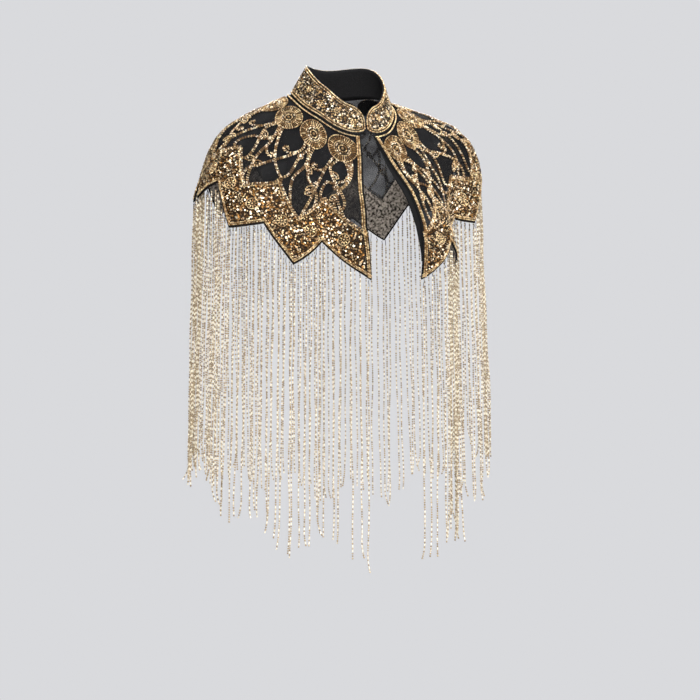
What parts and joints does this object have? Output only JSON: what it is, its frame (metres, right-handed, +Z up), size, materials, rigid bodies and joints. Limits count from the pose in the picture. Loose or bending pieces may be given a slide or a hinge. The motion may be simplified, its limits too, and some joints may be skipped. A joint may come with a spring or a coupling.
{
  "type": "beaded fringe cape",
  "caption": "Short sheer cape with a stand collar, a zigzag sequinned border, beaded rosettes and vines, and a long fringe of bead strands, in the hollow form it has when worn.",
  "frame": {"origin": "the middle of the neck seam's ring, where the cape rests round the wearer's neck", "axes": "+Z up along the wearer, the longest extent, collar to fringe; -Y is the front and +Y the back, the shortest extent; +X is the wearer's left"},
  "size_m": [0.4794, 0.3463, 0.7035],
  "materials": {
    "mesh": "sheer black tulle, matt",
    "sequins": "dense gold and brown sequins and small beads, glittering",
    "beads": "gold and silver-lined glass beads, glossy",
    "strand_beads": "pale champagne glass beads, glossy"
  },
  "bodies": {
    "root": {"yoke_left": "mesh", "yoke_back": "mesh", "yoke_right": "mesh", "border_left": "sequins", "border_back": "sequins", "border_right": "sequins", "collar": "sequins", "edging_left": "beads", "edging_right": "beads", "neck_edging": "beads", "collar_top_edging": "beads", "collar_foot_edging": "beads", "rosette_01": "beads", "rosette_02": "beads", "rosette_03": "beads", "rosette_04": "beads", "rosette_05": "beads", "rosette_06": "beads", "rosette_07": "beads", "rosette_08": "beads", "rosette_09": "beads", "rosette_10": "beads", "rosette_11": "beads", "rosette_12": "beads", "rosette_13": "beads", "vines_left": "beads", "vines_back": "beads", "vines_right": "beads", "fringe_left": "strand_beads", "fringe_back": "strand_beads", "fringe_right": "strand_beads"}
  },
  "joints": []
}
